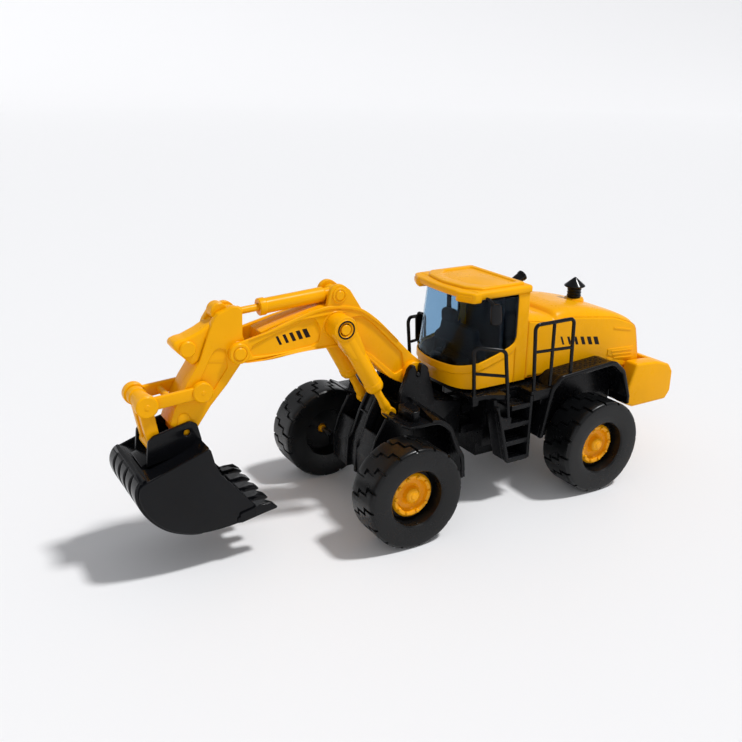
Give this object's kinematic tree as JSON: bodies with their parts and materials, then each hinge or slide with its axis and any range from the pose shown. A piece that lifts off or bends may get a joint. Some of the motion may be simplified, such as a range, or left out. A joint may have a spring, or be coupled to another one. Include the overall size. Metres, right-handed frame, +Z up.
{
  "type": "toy excavator",
  "caption": "Toy wheeled construction machine with an articulated chassis, a glazed cab, an engine hood and a linked boom, stick and backhoe bucket",
  "frame": {"origin": "on the ground, midway between the axles, on the centre plane", "axes": "+X forward along the length towards the bucket, +Y to the machine's left across the wheels, +Z up"},
  "size_m": [0.516, 0.18, 0.201],
  "materials": {
    "yellow": "moulded plastic, satin gloss, with a fine moulding texture",
    "hub_yellow": "moulded plastic, glossy",
    "black_frame": "moulded plastic, satin gloss",
    "black_trim": "moulded plastic, glossy",
    "tyre_black": "blow-moulded hard plastic, satin gloss",
    "glazing": "clear plastic with a light blue tint",
    "interior": "dark moulded plastic",
    "steel": "drawn steel rod"
  },
  "bodies": {
    "rear_frame": {"rear_frame": "black_frame", "frame_screws": "steel", "articulation_pin": "steel", "platform_left": "black_frame", "platform_right": "black_frame", "ladder_left": "black_frame", "ladder_right": "black_frame", "front_rail_left": "black_trim", "front_rail_right": "black_trim", "rear_rail_left": "black_trim", "rear_rail_right": "black_trim", "rear_fender_left": "black_frame", "rear_fender_right": "black_frame", "cab_shell": "yellow", "cab_glazing": "glazing", "cab_roof": "yellow", "cab_interior": "interior", "seat": "interior", "steering_wheel": "interior", "mirror_left": "black_trim", "mirror_right": "black_trim", "air_pipe": "black_trim", "hood": "yellow", "exhaust_stack": "black_trim", "counterweight": "yellow"},
    "rear_wheels": {"rear_axle": "steel", "tyre_rear_left": "tyre_black", "tyre_rear_right": "tyre_black", "hub_rear_left": "hub_yellow", "hub_rear_right": "hub_yellow"},
    "front_frame": {"front_frame": "black_frame", "front_fender_left": "black_frame", "front_fender_right": "black_frame", "front_lamp_left": "black_frame", "front_lamp_right": "black_frame", "boom_pin": "black_trim", "lift_foot_pins": "black_trim"},
    "front_wheels": {"front_axle": "steel", "tyre_front_left": "tyre_black", "tyre_front_right": "tyre_black", "hub_front_left": "hub_yellow", "hub_front_right": "hub_yellow"},
    "boom": {"boom_left": "yellow", "boom_right": "yellow", "boom_pins": "yellow"},
    "lift_rod_left": {"lift_rod_left": "yellow"},
    "lift_rod_right": {"lift_rod_right": "yellow"},
    "lift_barrel_left": {"lift_barrel_left": "yellow"},
    "lift_barrel_right": {"lift_barrel_right": "yellow"},
    "stick_barrel": {"stick_barrel": "yellow"},
    "stick_rod": {"stick_rod": "yellow"},
    "stick": {"stick": "yellow", "stick_guard": "yellow", "stick_pins": "yellow"},
    "tipping_link": {"tipping_link": "yellow", "tip_pin": "yellow"},
    "bucket_link": {"bucket_link": "yellow"},
    "bucket": {"bucket": "black_trim", "bucket_pin": "steel"}
  },
  "joints": [
    {"name": "articulation", "type": "hinge", "parent": "rear_frame", "child": "front_frame", "pos_m": [0.004, 0, 0.064], "axis": [0, 0, 1], "range_deg": [-20, 20]},
    {"name": "rear_wheel_spin", "type": "hinge", "parent": "rear_frame", "child": "rear_wheels", "pos_m": [-0.0982, 0, 0.0425], "axis": [0, 1, 0], "continuous": true},
    {"name": "front_wheel_spin", "type": "hinge", "parent": "front_frame", "child": "front_wheels", "pos_m": [0.0982, 0, 0.0425], "axis": [0, 1, 0], "continuous": true},
    {"name": "boom_lift", "type": "hinge", "parent": "front_frame", "child": "boom", "pos_m": [0.056, 0, 0.118], "axis": [0, -1, 0], "range_deg": [-8, 16]},
    {"name": "stick_swing", "type": "hinge", "parent": "boom", "child": "stick", "pos_m": [0.2116, 0, 0.1595], "axis": [0, -1, 0], "range_deg": [-15, 20]},
    {"name": "bucket_curl", "type": "hinge", "parent": "stick", "child": "bucket", "pos_m": [0.2556, 0, 0.105], "axis": [0, -1, 0], "range_deg": [-20, 20]},
    {"name": "lift_tilt_left", "type": "hinge", "parent": "front_frame", "child": "lift_rod_left", "pos_m": [0.084, 0.021, 0.089], "axis": [0, -1, 0], "range_deg": [-7.5, 15]},
    {"name": "lift_slide_left", "type": "slide", "parent": "lift_rod_left", "child": "lift_barrel_left", "axis": [0.4861, 0, 0.8739], "range_m": [-0.0056, 0.0112]},
    {"name": "lift_tilt_right", "type": "hinge", "parent": "front_frame", "child": "lift_rod_right", "pos_m": [0.084, -0.021, 0.089], "axis": [0, -1, 0], "range_deg": [-7.5, 15]},
    {"name": "lift_slide_right", "type": "slide", "parent": "lift_rod_right", "child": "lift_barrel_right", "axis": [0.4861, 0, 0.8739], "range_m": [-0.0056, 0.0112]},
    {"name": "stick_cylinder_tilt", "type": "hinge", "parent": "boom", "child": "stick_barrel", "pos_m": [0.125, 0, 0.1923], "axis": [0, -1, 0], "range_deg": [-0.5, 0.4]},
    {"name": "stick_cylinder_slide", "type": "slide", "parent": "stick_barrel", "child": "stick_rod", "axis": [0.9982, 0, -0.0601], "range_m": [-0.0104, 0.008]},
    {"name": "tipping_link_tilt", "type": "hinge", "parent": "stick", "child": "tipping_link", "pos_m": [0.2417, 0, 0.1344], "axis": [0, -1, 0], "range_deg": [-12, 12]},
    {"name": "bucket_link_tilt", "type": "hinge", "parent": "tipping_link", "child": "bucket_link", "pos_m": [0.284, 0, 0.1316], "axis": [0, -1, 0], "range_deg": [-8.5, 8.5]}
  ],
  "couplings": [
    {"joint": "lift_tilt_left", "follows": "boom_lift", "ratio": 0.854},
    {"joint": "lift_slide_left", "follows": "boom_lift", "m_per_rad": 0.0376},
    {"joint": "lift_tilt_right", "follows": "boom_lift", "ratio": 0.854},
    {"joint": "lift_slide_right", "follows": "boom_lift", "m_per_rad": 0.0376},
    {"joint": "stick_cylinder_tilt", "follows": "stick_swing", "ratio": -0.021},
    {"joint": "stick_cylinder_slide", "follows": "stick_swing", "m_per_rad": -0.02705},
    {"joint": "tipping_link_tilt", "follows": "bucket_curl", "ratio": 0.561},
    {"joint": "bucket_link_tilt", "follows": "bucket_curl", "ratio": -0.374}
  ]
}
